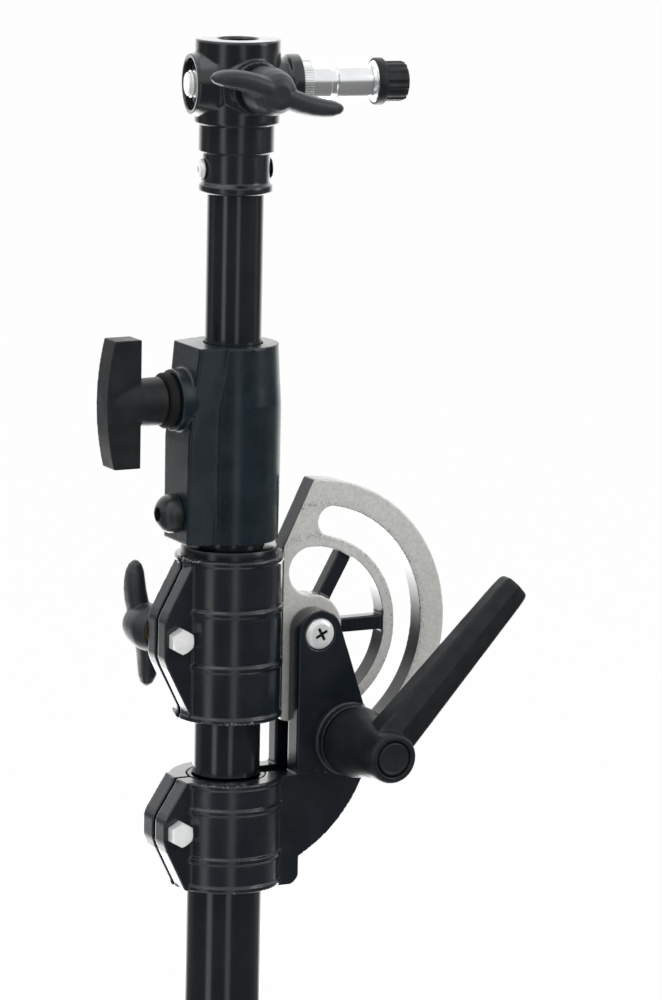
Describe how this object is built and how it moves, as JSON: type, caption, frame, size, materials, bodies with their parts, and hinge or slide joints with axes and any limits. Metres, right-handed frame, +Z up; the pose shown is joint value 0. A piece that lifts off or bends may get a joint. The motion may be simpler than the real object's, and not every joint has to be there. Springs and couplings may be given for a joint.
{
  "type": "overhead boom arm",
  "caption": "Telescoping boom arm on a tilting sector swivel with a ratchet lock lever, collar clamps, knobs and a spigot head, on a stub of its stand's column.",
  "frame": {"origin": "centre of the column foot's lower face", "axes": "+Z up along the column, +X from the column to the tilt pivot, -Y the side with the ratchet lever"},
  "size_m": [0.1877, 0.0939, 0.495],
  "materials": {
    "black_tube": "gloss black paint",
    "black_cast": "satin black paint on a casting",
    "slate_cast": "grained dark slate paint",
    "sector_cast": "black paint with bare machined faces",
    "zinc": "bright zinc plate",
    "steel": "plain dark steel",
    "aluminium": "turned",
    "brass": "turned",
    "black_plastic": "moulded, matte",
    "black_nylon": "moulded, satin",
    "rubber": "matte"
  },
  "bodies": {
    "column": {"column_tube": "black_tube", "column_foot": "black_nylon", "swivel_bracket": "black_cast", "collar_mouth_bush": "black_nylon", "lower_clamp_bolt": "zinc", "lower_clamp_nut": "zinc", "pivot_screw": "zinc", "pivot_nut": "zinc", "lock_bolt": "zinc", "lock_washer": "zinc", "lever_thrust_washer": "zinc"},
    "lever_core": {"lever_core": "steel", "lever_screw": "zinc", "lever_cap": "black_plastic", "lever_spring": "steel"},
    "lever_handle": {"lever_handle": "black_plastic"},
    "swivel": {"tilt_sector": "sector_cast", "collar_liner": "black_nylon", "pivot_bush": "brass", "upper_clamp_bolt": "zinc", "wing_washer": "zinc"},
    "collar_wing": {"collar_wing_insert": "brass", "collar_wing_knob": "black_plastic"},
    "boom": {"boom_tube": "black_tube", "section_lock": "slate_cast", "mast_bush": "black_nylon", "section_clamp_screw": "black_cast", "brake_shoe": "brass"},
    "tee_knob": {"tee_knob": "black_plastic", "tee_screw": "zinc", "tee_seal": "rubber"},
    "mast": {"mast_tube": "black_tube", "mast_shoe": "black_nylon", "head_casting": "black_cast", "head_screw_left": "zinc", "head_screw_right": "steel"},
    "head_wing": {"head_wing_screw": "zinc", "head_wing_knob": "black_plastic"},
    "spigot": {"spigot_stud": "zinc", "spigot": "aluminium"},
    "spigot_cap": {"spigot_cap": "black_plastic"}
  },
  "joints": [
    {"name": "boom_tilt", "type": "hinge", "parent": "column", "child": "swivel", "pos_m": [0.0381, 0, 0.2311], "axis": [0, 1, 0], "range_deg": [0, 150]},
    {"name": "boom_slide", "type": "slide", "parent": "swivel", "child": "boom", "axis": [0, 0, 1], "range_m": [0, 0.045]},
    {"name": "mast_slide", "type": "slide", "parent": "boom", "child": "mast", "axis": [0, 0, 1], "range_m": [0, 0.11]},
    {"name": "tee_knob_turn", "type": "hinge", "parent": "boom", "child": "tee_knob", "pos_m": [-0.03, 0, 0.338], "axis": [-1, 0, 0], "range_deg": [0, 360]},
    {"name": "collar_wing_turn", "type": "hinge", "parent": "swivel", "child": "collar_wing", "pos_m": [-0.0284, 0.0109, 0.2324], "axis": [0, 1, 0], "range_deg": [0, 360]},
    {"name": "head_wing_turn", "type": "hinge", "parent": "mast", "child": "head_wing", "pos_m": [-0.00076, -0.02179, 0.4755], "axis": [-0.0349, -0.9994, 0], "range_deg": [0, 360]},
    {"name": "spigot_turn", "type": "hinge", "parent": "mast", "child": "spigot", "pos_m": [0, 0, 0.4755], "axis": [0.9848, -0.1736, 0], "continuous": true},
    {"name": "spigot_cap_turn", "type": "hinge", "parent": "spigot", "child": "spigot_cap", "pos_m": [0, 0, 0.4755], "axis": [0.9848, -0.1736, 0], "range_deg": [0, 360]},
    {"name": "lever_turn", "type": "hinge", "parent": "column", "child": "lever_core", "pos_m": [0.0536, -0.021, 0.182], "axis": [0, -1, 0], "range_deg": [-20, 180]},
    {"name": "lever_lift", "type": "slide", "parent": "lever_core", "child": "lever_handle", "axis": [0, -1, 0], "range_m": [0, 0.004], "stiffness_N_per_m": 900, "springref_m": -0.004, "deforming": ["lever_spring"]}
  ]
}
